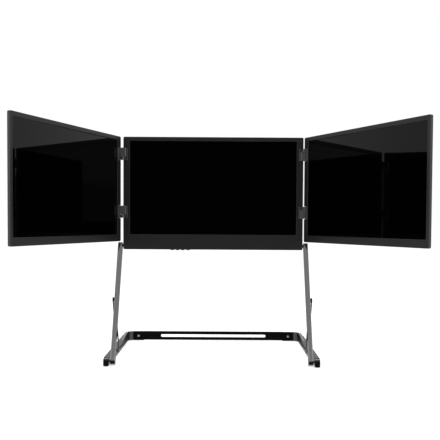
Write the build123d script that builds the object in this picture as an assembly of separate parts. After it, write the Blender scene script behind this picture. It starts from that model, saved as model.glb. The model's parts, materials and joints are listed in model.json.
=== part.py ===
from build123d import *
import os
from math import cos, radians, sin

# Laptop screen extender: a centre screen with two side screens on vertical hinges,
# carried by two leaning legs on a U-shaped base that stands around a laptop.
# Millimetres. X points right, Y away from the user, Z up. The origin is on the desk,
# midway between the rails and midway between the front and the back of the base.

# ------------------------------------------------------------------ screens
picture_w = 344.16  # visible picture of a 15.6 inch 16:9 panel
picture_h = 193.6
center_side_bezel = 15.1
center_top_bezel = 8.8
center_chin = 31.55
center_depth = 10.0
wing_inner_bezel = 14.8
wing_outer_bezel = 8.3
wing_top_bezel = 8.5
wing_bottom_bezel = 14.3
wing_depth = 6.4
wing_drop = 0.33  # picture of a wing sits this much below the centre one
shell_corner_r = 3.0
bezel_thick = 1.5
side_wall = 1.5
back_wall = 1.4
glass_thick = 0.8
glass_margin = 1.6  # glass behind the bezel, past the window
lcd_margin = 1.4
center_lcd_thick = 2.8
wing_lcd_thick = 2.3
window_reach = 1.2  # black border beside the picture, left and right
window_edge_r = 1.2
front_edge_r = 0.6
back_edge_r = 1.2

# case screws
screw_r = 1.0
screw_head_r = 1.8
screw_head_h = 0.9
screw_inset = 4.5
post_r = 2.0

# ------------------------------------------------------------------ wing hinges
left_wing_angle = 69.9  # turned towards the user from the plane of the centre screen
right_wing_angle = 63.75
left_half_gap = 0.13  # from screen edge to hinge axis
right_half_gap = 0.63
left_axis_ahead = 4.6  # hinge axis in front of the screen faces: the left wing folds last
right_axis_ahead = 0.95
hinge_upper_z = 69.5  # middle of each hinge, from the middle of the centre picture
hinge_lower_z = -50.2
knuckle_r = 5.8
knuckle_flat = 4.0
knuckle_block_w = 13.2  # square front of the centre knuckle
knuckle_edge_r = 1.4
knuckle_gap = 0.2
center_knuckle_h = 18.2
wing_knuckle_h = 6.8
center_clear_r = 6.4  # round the axis, in the centre screen
wing_clear_r = 7.5  # the wing swings past the corners of the centre knuckle
hinge_clear = 0.6
center_leaf_reach = 9.0  # from the screen's edge inwards
wing_leaf_reach = 12.6
leaf_proud = 0.6
leaf_sunk = 0.9
plate_proud = 0.15  # centre leaf between its knuckle and its raised end strip
end_strip_w = 2.3
hinge_wall_reach = 9.5
hinge_pin_r = 1.6
running_fit = 0.05

# ------------------------------------------------------------------ legs and tilt
leg_w = 9.2
leg_d = 13.0
leg_edge_r = 1.4
leg_length = 245.2  # between its two pivots
leg_lean = 25.23  # degrees back from upright
leg_fold_max = 56.0
pivot_above_chin_edge = 8.05
screen_side_gap = 1.8  # between centre screen and leg
tilt_pin_r = 2.5
tilt_block_w = 22.0
tilt_block_h = 12.6
tilt_washer_r = 3.2
top_cap_seat = 1.5  # above the tilt axis
foot_cap_seat = -1.9  # below the lower pivot
foot_cap_end = 7.5
foot_cap_r = 3.0

# ------------------------------------------------------------------ struts
strut_length = 125.7  # equal to its pivot's distance from the lower leg pivot
strut_w = 10.0
strut_thick = 1.2
strut_out = 2.6  # the eye stands this far outside the leg
joggle_start = 42.0
joggle_end = 54.0
strut_tuck = 1.7  # below the joggle, in from the leg's outer face
strut_screw_r = 2.5
strut_head_r = 4.2
strut_head_h = 0.6
spacer_r = 4.5
foot_pin_r = 2.0

# ------------------------------------------------------------------ base
base_depth = 308.0
pad_thick = 0.8
front_pad_l = 14.0
rear_pad_l = 30.0
pad_w = 5.5
pad_inset = 2.5  # from the ends of the base and of the rail
rail_w = 12.0
rail_h = 15.3
rail_wall = 1.5
rail_inner_wall = 3.5
leg_rail_gap = 1.5
leg_pivot_h = 9.0  # above the underside of the rail
leg_pivot_setback = 13.5  # behind the front of the base
leg_pivot_r = 2.5
leg_pivot_sink = 7.4  # pin in the end block
pivot_washer_r = 3.4
nose_length = 15.5
nose_h = 14.5
nose_inset = 1.1  # from the rail's outer face
nose_corner_r = 2.0
nose_brow_r = 4.0
nose_edge_r = 0.8
flange_l = 2.5
plug_l = 24.0
core_fit = 0.1
groove_h = 4.4
groove_depth = 2.0
groove_lead = 2.7
rear_opening_l = 85.0
top_band_w = 5.4  # what is left of the rail's top over the rear opening
bracket_thick = 3.5  # along the cross bar
bracket_h = 21.0
bracket_inset = 5.5  # outer face of the corner, inwards from the rail's outer face
bracket_recess = 0.3  # its inner face, behind the rail's
bracket_bend_r = 19.5  # outside of the bend
bracket_tab = 23.0  # straight stretch along the cross bar
tongue_l = 82.0
tongue_level_l = 20.0  # full height before the rail's end; it slopes down ahead of that
rivet_r = 1.75
rivet_head_r = 3.0
rivet_head_h = 0.7
bar_thick = 3.2
bar_h = 20.5
bar_overlap = 22.0
bar_slot_l = 248.0
bar_slot_h = 6.3
bar_screw_r = 2.0
bar_screw_head_r = 3.0
bar_screw_head_h = 2.2
bar_nut_af = 7.0
bar_nut_h = 3.2
bar_screw_from_tab_end = 13.3

# ------------------------------------------------------------------ keys, boards, ports
key_count = 4
key_pitch = 11.0
key_first_x = -85.1
key_w = 7.2
key_d = 3.4
key_proud = 1.5
key_travel = 0.6
key_flange = 0.7
key_flange_h = 0.8
key_fit = 0.2
switch_gap = 0.15  # left over the switch when a key is fully in
switch_h = 3.0
board_thick = 1.2
board_standoff = 0.6
center_board_l = 240.0
center_board_h = 19.0
center_board_up = 8.4
wing_board_l = 150.0
wing_board_h = 8.6
port_w = 9.0
port_h = 3.2
port_l = 7.3
port_wall = 0.35
port_pitch = 18.0
center_port_x = 62.0
center_port_count = 3
wing_port_x = 30.0
wing_port_count = 2

# ------------------------------------------------------------------ worked out
window_w = picture_w + 2 * window_reach
center_w = picture_w + 2 * center_side_bezel
center_h = picture_h + center_top_bezel + center_chin
center_bottom = -picture_h / 2 - center_chin  # from the middle of the picture
lean = radians(leg_lean)
leg_pivot_y = -base_depth / 2 + leg_pivot_setback
leg_pivot_z = pad_thick + leg_pivot_h
tilt_y = leg_pivot_y + leg_length * sin(lean)
tilt_z = leg_pivot_z + leg_length * cos(lean)
strut_y = leg_pivot_y + strut_length * sin(lean)
strut_z = leg_pivot_z + strut_length * cos(lean)
foot_y = strut_y + strut_length * sin(lean)
foot_travel_y = leg_pivot_y + 2 * strut_length * sin(radians(leg_lean + leg_fold_max))
face_y = tilt_y - center_depth / 2
picture_z = tilt_z - pivot_above_chin_edge - center_bottom
leg_in = center_w / 2 + screen_side_gap
leg_out = leg_in + leg_w
rail_in = leg_out + leg_rail_gap
rail_out = rail_in + rail_w
rail_front = -base_depth / 2 + nose_length + flange_l
bracket_out = rail_out - bracket_inset
bar_front = base_depth / 2 - bar_thick
tab_front = bar_front - bracket_thick
bend_y = bar_front - bracket_bend_r
rail_rear = bend_y
opening_y = rail_rear - rear_opening_l
band_in = rail_out - top_band_w
bracket_in = rail_in + bracket_recess
hinge_h = center_knuckle_h + knuckle_gap + wing_knuckle_h


# ------------------------------------------------------------------ helpers
def slab(x, y, z):
    """A box given by its low and high corner along each axis."""
    size = [b - a for a, b in (x, y, z)]
    middle = [(a + b) / 2 for a, b in (x, y, z)]
    return Pos(*middle) * Box(*size)


def rod_x(radius, x0, x1, y, z):
    return Pos((x0 + x1) / 2, y, z) * Rot(0, 90, 0) * Cylinder(radius, abs(x1 - x0))


def rod_y(radius, y0, y1, x, z):
    return Pos(x, (y0 + y1) / 2, z) * Rot(90, 0, 0) * Cylinder(radius, abs(y1 - y0))


def rod_z(radius, z0, z1, x, y):
    return Pos(x, y, (z0 + z1) / 2) * Cylinder(radius, abs(z1 - z0))


def mirrored(shape):
    return mirror(shape, about=Plane.YZ)


def export(node, *solids):
    """Write one node; the solids of a group stay separate."""
    pieces = [s for shape in solids for s in shape.solids()]
    shape = pieces[0] if len(pieces) == 1 else Compound(children=pieces)
    shape.label = node
    export_step(shape, f"parts/{node}.step")


# ------------------------------------------------------------------ one screen
# A screen is drawn around the middle of its picture, with its front face at y = 0.
class Outline:
    def __init__(self, left, right, top, bottom, depth):
        self.x = (-picture_w / 2 - left, picture_w / 2 + right)
        self.z = (-picture_h / 2 - bottom, picture_h / 2 + top)
        self.depth = depth

    def grown(self, by, y):
        return slab((self.x[0] - by, self.x[1] + by), y, (self.z[0] - by, self.z[1] + by))


def round_corners(shape, radius):
    return fillet(shape.edges().filter_by(Axis.Y), radius)


def screen_bezel(outline, posts):
    """Front frame with a rounded window edge and the posts that the case screws bite."""
    frame = round_corners(outline.grown(0, (0, bezel_thick)), shell_corner_r)
    frame = fillet(frame.faces().sort_by(Axis.Y)[0].outer_wire().edges(), front_edge_r)
    window = slab((-window_w / 2, window_w / 2), (0, bezel_thick), (-picture_h / 2, picture_h / 2))
    frame -= window
    rim = [e for e in frame.faces().sort_by(Axis.Y)[0].inner_wires()[0].edges()]
    frame = fillet(rim, window_edge_r)
    for x, z in posts:
        frame += rod_y(post_r, bezel_thick, outline.depth - back_wall, x, z)
        frame -= rod_y(screw_r, bezel_thick, outline.depth, x, z)
    return frame


def screen_back_cover(outline, posts):
    """Tray behind the bezel, with countersinks for the case screws."""
    cover = round_corners(outline.grown(0, (bezel_thick, outline.depth)), shell_corner_r)
    cover = fillet(cover.faces().sort_by(Axis.Y)[-1].edges(), back_edge_r)
    inner = outline.grown(-side_wall, (bezel_thick, outline.depth - back_wall))
    cover -= round_corners(inner, shell_corner_r - side_wall)
    for x, z in posts:
        cover -= rod_y(screw_r + 0.1, outline.depth - back_wall, outline.depth, x, z)
        cover -= rod_y(screw_head_r + 0.1, outline.depth - screw_head_h, outline.depth, x, z)
    return cover


def screen_glass():
    x, z = window_w / 2 + glass_margin, picture_h / 2 + glass_margin
    return slab((-x, x), (bezel_thick, bezel_thick + glass_thick), (-z, z))


def screen_lcd(thick):
    x, z = picture_w / 2 + lcd_margin, picture_h / 2 + lcd_margin
    front = bezel_thick + glass_thick
    return slab((-x, x), (front, front + thick), (-z, z))


def case_screws(outline, posts):
    seat = outline.depth - screw_head_h
    shank_start = bezel_thick + 1.0
    screws = []
    for x, z in posts:
        body = rod_y(screw_r, shank_start, seat, x, z)
        body += rod_y(screw_head_r, seat, outline.depth - 0.1, x, z)
        screws.append(body)
    return screws


def port_solid(x, y, z):
    """Metal shell of a connector that opens downwards, with its contact tongue."""
    shell = slab((x - port_w / 2, x + port_w / 2), (y - port_h / 2, y + port_h / 2), (z, z + port_l))
    shell = fillet(shell.edges().filter_by(Axis.Z), port_h / 2 * 0.9)
    hollow_x = port_w / 2 - port_wall
    hollow_y = port_h / 2 - port_wall
    hollow = slab((x - hollow_x, x + hollow_x), (y - hollow_y, y + hollow_y), (z, z + port_l - 1.0))
    shell -= fillet(hollow.edges().filter_by(Axis.Z), hollow_y * 0.9)
    tongue_x, tongue_y = port_w / 2 - 1.2, 0.35
    return shell + slab((x - tongue_x, x + tongue_x), (y - tongue_y, y + tongue_y), (z + 1.2, z + port_l))


def ports_along(outline, first_x, count):
    """Connectors in the bottom wall, mouths flush with the outside."""
    y = bezel_thick + (outline.depth - back_wall - bezel_thick) / 2
    return [port_solid(first_x + i * port_pitch, y, outline.z[0] + 0.2) for i in range(count)]


def cut_port_mouths(cover, outline, first_x, count):
    y = bezel_thick + (outline.depth - back_wall - bezel_thick) / 2
    for i in range(count):
        x = first_x + i * port_pitch
        mouth = slab(
            (x - port_w / 2, x + port_w / 2),
            (y - port_h / 2, y + port_h / 2),
            (outline.z[0] - 1, outline.z[0] + side_wall),
        )
        cover -= fillet(mouth.edges().filter_by(Axis.Z), port_h / 2 * 0.9)
    return cover


def board_on_cover(outline, length, height, up, ports):
    """Circuit board on the back cover's stand-offs, notched for the connectors."""
    back = outline.depth - back_wall - board_standoff
    z0 = outline.z[0] + up
    board = slab((-length / 2, length / 2), (back - board_thick, back), (z0, z0 + height))
    for port in ports:
        box = port.bounding_box()
        board -= slab((box.min.X, box.max.X), (0, outline.depth), (box.min.Z, box.max.Z))
    return board


def standoffs(outline, length, height, up):
    back = outline.depth - back_wall
    z = outline.z[0] + up + height / 2
    return [rod_y(2.0, back - board_standoff, back, side * (length / 2 - 6), z) for side in (-1, 1)]


# ------------------------------------------------------------------ hinges
# Drawn for the right side with the wing in the plane of the centre screen: the axis is at
# x = 0, y = 0, screen faces lie at y = ahead, and screen edges at x = -gap and x = +gap.
def hinge_solids(gap, ahead, wing_knuckle_on_top):
    low = -hinge_h / 2
    split = low + (center_knuckle_h if wing_knuckle_on_top else wing_knuckle_h)
    under, over = (low, split), (split + knuckle_gap, low + hinge_h)
    center_z, wing_z = (under, over) if wing_knuckle_on_top else (over, under)
    pin = rod_z(hinge_pin_r, low, low + hinge_h, 0, 0)
    return center_leaf(center_z, gap, ahead), wing_leaf(wing_z, gap, ahead), pin


def knuckle(z, side, clear_r, leaf_y):
    """Flat-fronted knuckle with the neck that joins it to its leaf."""
    body = rod_z(knuckle_r, z[0], z[1], 0, 0)
    body -= slab((-knuckle_r, knuckle_r), (-2 * knuckle_r, -knuckle_flat), z)
    return body + slab(sorted((0, side * clear_r)), leaf_y, z)


def center_leaf(z, gap, ahead):
    """Knuckle with a square front; the leaf lies flush and ends in a raised strip."""
    half, whole = knuckle_block_w / 2, (-hinge_h / 2, hinge_h / 2)
    flush = (ahead - plate_proud, ahead + leaf_sunk)
    end = -gap - center_leaf_reach
    strip_in = end + end_strip_w
    block = slab((-half, half), (-knuckle_flat, 0), z)
    block = fillet(block.edges().filter_by(Axis.Z).sort_by(Axis.Y)[:2], knuckle_edge_r)
    body = knuckle(z, -1, center_clear_r, (ahead - leaf_proud, ahead + leaf_sunk)) + block
    body += slab((end, -center_clear_r), flush, whole)
    body += slab((end, strip_in), (ahead - leaf_proud, ahead), whole)
    body -= slab((strip_in, strip_in + 0.6), (ahead - leaf_proud, ahead + leaf_sunk / 2), whole)
    return body - rod_z(hinge_pin_r, z[0], z[1], 0, 0)


def wing_leaf(z, gap, ahead):
    leaf_y = (ahead - leaf_proud, ahead + leaf_sunk)
    body = knuckle(z, 1, wing_clear_r, leaf_y)
    body += slab((wing_clear_r, gap + wing_leaf_reach), leaf_y, (-hinge_h / 2, hinge_h / 2))
    return body - rod_z(hinge_pin_r + running_fit, z[0], z[1], 0, 0)


def hinge_cut(axis_x, axis_y, z, edge_x, side, reach, clear_r):
    """What a hinge takes out of a screen: the knuckles' clearance and the leaf's pocket."""
    half = hinge_h / 2 + hinge_clear
    cut = rod_z(clear_r, z - half, z + half, axis_x, axis_y)
    x = sorted((edge_x, edge_x + side * reach))
    return cut + slab(x, (-1, leaf_sunk), (z - hinge_h / 2, z + hinge_h / 2))


def hinge_wall(edge_x, side, z, depth):
    """Solid corner of the back cover behind a hinge."""
    half = hinge_h / 2 + hinge_clear + side_wall
    x = sorted((edge_x + side * side_wall, edge_x + side * hinge_wall_reach))
    return slab(x, (bezel_thick, depth - back_wall), (z - half, z + half))


hinge_heights = (hinge_lower_z, hinge_upper_z)


def fit_hinge(bezel, cover, edge_x, side, gap, ahead, depth, drop=0, reach=0, clear_r=0):
    """Cut both hinges of one side into a screen; side points from the edge inwards."""
    axis_x = edge_x - side * gap
    for z in hinge_heights:
        cover += hinge_wall(edge_x, side, z + drop, depth)
        cut = hinge_cut(axis_x, -ahead, z + drop, edge_x, side, reach, clear_r)
        bezel -= cut
        cover -= cut
    return bezel, cover


# ------------------------------------------------------------------ centre screen
def build_center():
    outline = Outline(center_side_bezel, center_side_bezel, center_top_bezel, center_chin, center_depth)
    top, bottom = outline.z[1] - screw_inset, outline.z[0] + screw_inset
    side = center_w / 2 - screw_inset
    low_x = center_w / 2 - tilt_block_w - 4 * post_r
    posts = [(-side, top), (0, top), (side, top), (-low_x, bottom), (0, bottom), (low_x, bottom)]
    bezel = screen_bezel(outline, posts)
    cover = screen_back_cover(outline, posts)
    for side, gap, ahead in ((-1, left_half_gap, left_axis_ahead), (1, right_half_gap, right_axis_ahead)):
        bezel, cover = fit_hinge(
            bezel, cover, side * center_w / 2, -side, gap, ahead, center_depth,
            reach=center_leaf_reach, clear_r=center_clear_r,
        )
    ports = ports_along(outline, center_port_x, center_port_count)
    cover = cut_port_mouths(cover, outline, center_port_x, center_port_count)
    board = board_on_cover(outline, center_board_l, center_board_h, center_board_up, ports)
    for post in standoffs(outline, center_board_l, center_board_h, center_board_up):
        cover += post

    pivot_y, pivot_z = center_depth / 2, outline.z[0] + pivot_above_chin_edge
    inside = center_w / 2 - side_wall
    block_z = (outline.z[0] + side_wall, outline.z[0] + side_wall + tilt_block_h)
    block = slab((inside - tilt_block_w, inside), (bezel_thick, center_depth - back_wall), block_z)
    block = fillet(block.edges().filter_by(Axis.Y).sort_by(Axis.X)[-2:], shell_corner_r)
    block -= rod_x(tilt_pin_r, inside - tilt_block_w, inside, pivot_y, pivot_z)
    pin = rod_x(tilt_pin_r, inside - tilt_block_w + 4, leg_out - 1.0, pivot_y, pivot_z)
    washer = rod_x(tilt_washer_r, center_w / 2, leg_in - running_fit, pivot_y, pivot_z)
    washer -= rod_x(tilt_pin_r, center_w / 2, leg_in, pivot_y, pivot_z)
    bore = rod_x(tilt_pin_r, inside, center_w / 2, pivot_y, pivot_z)
    cover = cover - bore - mirrored(bore)

    keys, switches = [], []
    for i in range(key_count):
        x = key_first_x + i * key_pitch
        key, hole, switch = key_solids(x, pivot_y, outline.z[0])
        cover -= hole
        keys.append(key)
        switches.append(switch)
    place = Pos(0, face_y, picture_z)
    export("center_bezel", place * bezel)
    export("center_back_cover", place * cover)
    export("center_glass", place * screen_glass())
    export("center_lcd_module", place * screen_lcd(center_lcd_thick))
    export("center_control_board", place * board)
    export("center_key_switches", *[place * s for s in switches])
    export("center_ports", *[place * p for p in ports])
    export("center_case_screws", *[place * s for s in case_screws(outline, posts)])
    export("left_tilt_block", place * mirrored(block))
    export("right_tilt_block", place * block)
    export("tilt_pins", place * pin, place * mirrored(pin))
    export("tilt_washers", place * washer, place * mirrored(washer))
    for number, key in enumerate(keys, start=1):
        export(f"key_{number}", place * key)


def key_solids(x, y, bottom):
    """A key, its hole in the bottom wall and the switch above it."""
    inner = bottom + side_wall
    flange_top = inner + key_flange_h
    key = slab((x - key_w / 2, x + key_w / 2), (y - key_d / 2, y + key_d / 2), (bottom - key_proud, inner))
    key = fillet(key.edges().filter_by(Axis.Z), key_d * 0.3)
    key = fillet(key.faces().sort_by(Axis.Z)[0].edges(), 0.4)
    wide_x, wide_y = key_w / 2 + key_flange, key_d / 2 + key_flange
    key += slab((x - wide_x, x + wide_x), (y - wide_y, y + wide_y), (inner, flange_top))
    hole_x, hole_y = key_w / 2 + key_fit, key_d / 2 + key_fit
    hole = slab((x - hole_x, x + hole_x), (y - hole_y, y + hole_y), (bottom - 1, inner))
    start = flange_top + key_travel + switch_gap
    switch_front = y - key_d / 2
    switch_back = center_depth - back_wall
    switch = slab((x - key_w / 3, x + key_w / 3), (switch_front, switch_back), (start, start + switch_h))
    return key, hole, switch


# ------------------------------------------------------------------ side screens
def build_wing(name, side, gap, ahead, angle, wing_knuckle_on_top):
    """side is -1 for the left wing and 1 for the right one."""
    bezels = (wing_outer_bezel, wing_inner_bezel) if side < 0 else (wing_inner_bezel, wing_outer_bezel)
    outline = Outline(bezels[0], bezels[1], wing_top_bezel, wing_bottom_bezel, wing_depth)
    top, bottom = outline.z[1] - screw_inset, outline.z[0] + screw_inset
    left, right = outline.x[0] + screw_inset, outline.x[1] - screw_inset
    posts = [(left, top), (0, top), (right, top), (left, bottom), (right, bottom)]
    bezel = screen_bezel(outline, posts)
    cover = screen_back_cover(outline, posts)
    inner_edge = outline.x[0] if side > 0 else outline.x[1]
    bezel, cover = fit_hinge(
        bezel, cover, inner_edge, side, gap, ahead, wing_depth,
        drop=wing_drop, reach=wing_leaf_reach, clear_r=wing_clear_r,
    )
    first_x = -wing_port_x - port_pitch / 2 if side < 0 else wing_port_x - port_pitch / 2
    ports = ports_along(outline, first_x, wing_port_count)
    cover = cut_port_mouths(cover, outline, first_x, wing_port_count)
    up = side_wall + 0.5
    board = board_on_cover(outline, wing_board_l, wing_board_h, up, ports)
    for post in standoffs(outline, wing_board_l, wing_board_h, up):
        cover += post

    axis_x = side * (center_w / 2 + gap)
    axis_y = face_y - ahead
    shift_x = axis_x + side * gap - inner_edge
    flat = Pos(shift_x, face_y, picture_z - wing_drop)
    axis = Axis((axis_x, axis_y, 0), (0, 0, 1))

    def turned(shape):
        return (flat * shape).rotate(axis, -side * angle)

    export(f"{name}_wing_bezel", turned(bezel))
    export(f"{name}_wing_back_cover", turned(cover))
    export(f"{name}_wing_glass", turned(screen_glass()))
    export(f"{name}_wing_lcd_module", turned(screen_lcd(wing_lcd_thick)))
    export(f"{name}_wing_control_board", turned(board))
    export(f"{name}_wing_ports", *[turned(p) for p in ports])
    export(f"{name}_wing_case_screws", *[turned(s) for s in case_screws(outline, posts)])

    fixed_leaf, swung_leaf, pin = hinge_solids(gap, ahead, wing_knuckle_on_top)
    if side < 0:
        fixed_leaf, swung_leaf = mirrored(fixed_leaf), mirrored(swung_leaf)
    places = [Pos(axis_x, axis_y, picture_z + z) for z in hinge_heights]
    export(f"{name}_hinge_center_leaves", *[p * fixed_leaf for p in places])
    export(f"{name}_hinge_wing_leaves", *[(p * swung_leaf).rotate(axis, -side * angle) for p in places])
    export(f"{name}_hinge_pins", *[p * pin for p in places])


# ------------------------------------------------------------------ legs
# A leg is drawn upright with its lower pivot at y = 0, z = 0, and then leaned back.
def leaned(shape):
    return Pos(0, leg_pivot_y, leg_pivot_z) * (Rot(-leg_lean, 0, 0) * shape)


def leg_bores(shape):
    shape -= rod_x(leg_pivot_r + running_fit, leg_in, leg_out, 0, 0)
    return shape - rod_x(tilt_pin_r + running_fit, leg_in, leg_out - 1.0 + running_fit, 0, leg_length)


def leg_bar():
    bar = slab((leg_in, leg_out), (-leg_d / 2, leg_d / 2), (foot_cap_seat, leg_length + top_cap_seat))
    bar = fillet(bar.edges().filter_by(Axis.Z), leg_edge_r)
    bar -= rod_x(strut_screw_r, leg_in + 1.5, leg_out, 0, strut_length)
    return leg_bores(bar)


def leg_top_cap():
    """Rounded end cap, centred on the tilt axis; it butts against the bar."""
    cap = rod_x(leg_d / 2, leg_in, leg_out, 0, leg_length)
    cap &= slab((leg_in, leg_out), (-leg_d, leg_d), (leg_length + top_cap_seat, leg_length + leg_d))
    cap = fillet(cap.faces().sort_by(Axis.Z)[-1].edges().filter_by(GeomType.CIRCLE), 1.2)
    return leg_bores(cap)


def leg_foot_cap():
    """Square shoe that goes round the lower pivot and clears the desk as the leg folds."""
    cap = slab((leg_in, leg_out), (-leg_d / 2, leg_d / 2), (-foot_cap_end, foot_cap_seat))
    cap = fillet(cap.edges().filter_by(Axis.X).group_by(Axis.Z)[0], foot_cap_r)
    return leg_bores(cap)


def build_legs():
    bar, top, foot = leg_bar(), leg_top_cap(), leg_foot_cap()
    eye_in = leg_out + strut_out
    spacer = rod_x(spacer_r, leg_out, eye_in - running_fit, 0, strut_length)
    spacer -= rod_x(strut_screw_r, leg_out, eye_in, 0, strut_length)
    seat = eye_in + strut_thick + running_fit
    screw = rod_x(strut_screw_r, leg_in + 1.5, seat, 0, strut_length)
    head = rod_x(strut_head_r, seat, seat + strut_head_h, 0, strut_length)
    head = fillet(head.faces().sort_by(Axis.X)[-1].edges(), strut_head_h * 0.6)
    screw += head
    export("right_leg", leaned(bar))
    export("left_leg", leaned(mirrored(bar)))
    export("leg_top_caps", leaned(top), leaned(mirrored(top)))
    export("leg_foot_caps", leaned(foot), leaned(mirrored(foot)))
    export("strut_spacers", leaned(spacer), leaned(mirrored(spacer)))
    export("strut_screws", leaned(screw), leaned(mirrored(screw)))


# ------------------------------------------------------------------ struts
# A strut is drawn hanging down from its eye at y = 0, z = 0.
def strut_bar():
    low = -strut_length - strut_w / 2
    eye_x, low_x = leg_out + strut_out, leg_out - strut_tuck
    side = [
        (eye_x, strut_w / 2),
        (eye_x + strut_thick, strut_w / 2),
        (eye_x + strut_thick, -joggle_start),
        (low_x + strut_thick, -joggle_end),
        (low_x + strut_thick, low),
        (low_x, low),
        (low_x, -joggle_end),
        (eye_x, -joggle_start),
    ]
    bar = extrude(Plane.XZ * Polygon(*side, align=None), strut_w / 2, both=True)
    outline = slab((low_x - 1, eye_x + 2 * strut_thick), (-strut_w / 2, strut_w / 2), (-strut_length, 0))
    for z in (0, -strut_length):
        outline += rod_x(strut_w / 2, low_x - 1, eye_x + 2 * strut_thick, 0, z)
    bar &= outline
    bar -= rod_x(strut_screw_r + running_fit, low_x, eye_x + 2 * strut_thick, 0, 0)
    bar -= rod_x(foot_pin_r, low_x, eye_x, 0, -strut_length)
    return bar


def build_struts():
    bar = strut_bar()
    pin = rod_x(foot_pin_r, leg_out - strut_tuck, rail_in + groove_depth - core_fit, 0, -strut_length)
    place = Pos(0, strut_y, strut_z) * Rot(leg_lean, 0, 0)
    export("right_strut", place * bar)
    export("left_strut", place * mirrored(bar))
    export("strut_foot_pins", place * pin, place * mirrored(pin))


# ------------------------------------------------------------------ base
core_x = (rail_in + rail_inner_wall, rail_out - rail_wall)
core_z = (pad_thick + rail_wall, pad_thick + rail_h - rail_wall)
rail_z = (pad_thick, pad_thick + rail_h)


def side_rail():
    """Hollow rail, a guide groove on its inner side, cut open towards the rear."""
    rail = slab((rail_in, rail_out), (rail_front, rail_rear), rail_z)
    rail = fillet(rail.edges().filter_by(Axis.Y), 0.8)
    rail -= slab(core_x, (rail_front, rail_rear), core_z)
    groove = (leg_pivot_z - groove_h / 2, leg_pivot_z + groove_h / 2)
    groove_start = foot_y - foot_pin_r - groove_lead
    rail -= slab((rail_in, rail_in + groove_depth), (groove_start, opening_y), groove)
    opening = (pad_thick + rail_wall, pad_thick + rail_h)
    rail -= slab((rail_in, band_in), (opening_y, rail_rear), opening)
    for y, x, z in rivet_places():
        rail -= rod_x(rivet_r, core_x[1], rail_out, y, z)
    return rail


def end_block():
    """Black nose with the leg's pivot, a flange on the rail's end and a plug in its core."""
    front = -base_depth / 2
    nose_x, nose_z = (rail_in, rail_out - nose_inset), (pad_thick, pad_thick + nose_h)
    nose = slab(nose_x, (front, front + nose_length), nose_z)
    nose = fillet(nose.edges().filter_by(Axis.Y).group_by(Axis.Z)[0], nose_corner_r)
    brow = nose.edges().filter_by(Axis.X).group_by(Axis.Z)[-1].sort_by(Axis.Y)[0]
    nose = fillet(brow, nose_brow_r)
    nose = fillet(nose.edges().filter_by(Axis.Y).group_by(Axis.Z)[-1], nose_edge_r)
    flange = slab((rail_in, rail_out), (front + nose_length, rail_front), rail_z)
    flange = fillet(flange.edges().filter_by(Axis.Y), 0.8)
    plug_x = (core_x[0] + core_fit, core_x[1] - core_fit)
    plug = slab(plug_x, (rail_front, rail_front + plug_l), (core_z[0], core_z[1] - core_fit))
    block = nose + flange + plug
    return block - rod_x(leg_pivot_r, rail_in, rail_in + leg_pivot_sink, leg_pivot_y, leg_pivot_z)


def rivet_places():
    z = (core_z[0] + core_z[1]) / 2
    return [(rail_rear - back, core_x[1], z) for back in (tongue_l * 0.15, tongue_l * 0.45)]


def corner_bracket():
    """Cast corner from the rail to the cross bar; its sloping tongue lies in the rail."""
    bottom, top = pad_thick, pad_thick + bracket_h
    center_x = bracket_out - bracket_bend_r
    inner_r = bracket_in - center_x
    ring = rod_z(bracket_bend_r, bottom, top, center_x, bend_y)
    ring -= rod_z(inner_r, bottom, top, center_x, tab_front - inner_r)
    ring -= slab((center_x - bracket_bend_r, bracket_in), (0, tab_front - inner_r), (bottom, top))
    ring &= slab((center_x, bracket_out), (bend_y, bar_front), (bottom, top))
    tab = slab((center_x - bracket_tab, center_x), (tab_front, bar_front), (bottom, top))
    start = rail_rear - tongue_l
    side = [
        (start, core_z[0]),
        (start, rail_z[1]),
        (rail_rear - tongue_level_l, top),
        (rail_rear, top),
        (rail_rear, core_z[0]),
    ]
    half_w = (band_in - core_fit - bracket_in) / 2
    tongue = extrude(Plane.YZ * Polygon(*side, align=None), half_w, both=True)
    tongue = Pos(bracket_in + half_w, 0, 0) * tongue
    groove = (leg_pivot_z - groove_h / 2, leg_pivot_z + groove_h / 2)
    groove_end = foot_travel_y + foot_pin_r + 2 * core_fit
    tongue -= slab((bracket_in, rail_in + groove_depth), (start, groove_end), groove)
    under = slab((band_in - core_fit, core_x[1]), (start, rail_rear), (core_z[0], core_z[1] - core_fit))
    bracket = ring + tab + tongue + under
    bracket -= rod_y(bar_screw_r, tab_front, bar_front, bar_screw_x(), bar_screw_z())
    for y, x, height in rivet_places():
        bracket -= rod_x(rivet_r, x - rivet_r, x, y, height)
    return bracket


def bar_screw_x():
    return bracket_out - bracket_bend_r - bracket_tab + bar_screw_from_tab_end


def bar_screw_z():
    return pad_thick + bracket_h / 2


def cross_bar():
    top = pad_thick + bracket_h
    end = bracket_out - bracket_bend_r - bracket_tab + bar_overlap
    bar = slab((-end, end), (bar_front, bar_front + bar_thick), (top - bar_h, top))
    bar = fillet(bar.edges().filter_by(Axis.X), 0.4)
    slot = SlotOverall(bar_slot_l, bar_slot_h)
    bar -= extrude(Plane.XZ.offset(-bar_front) * Pos(0, bar_screw_z()) * slot, -bar_thick)
    for x in (-bar_screw_x(), bar_screw_x()):
        bar -= rod_y(bar_screw_r, bar_front, bar_front + bar_thick, x, bar_screw_z())
    return bar


def bar_screw():
    x, z = bar_screw_x(), bar_screw_z()
    head = rod_y(bar_screw_head_r, tab_front - bar_screw_head_h, tab_front, x, z)
    head = fillet(head.faces().sort_by(Axis.Y)[0].edges(), bar_screw_head_h * 0.6)
    head -= Pos(x, tab_front - bar_screw_head_h, z) * Rot(90, 0, 0) * extrude(
        RegularPolygon(bar_screw_r * 0.7, 6), 1.2, both=True
    )
    tip = bar_front + bar_thick + bar_nut_h + 0.5
    return head + rod_y(bar_screw_r, tab_front, tip, x, z)


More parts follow.
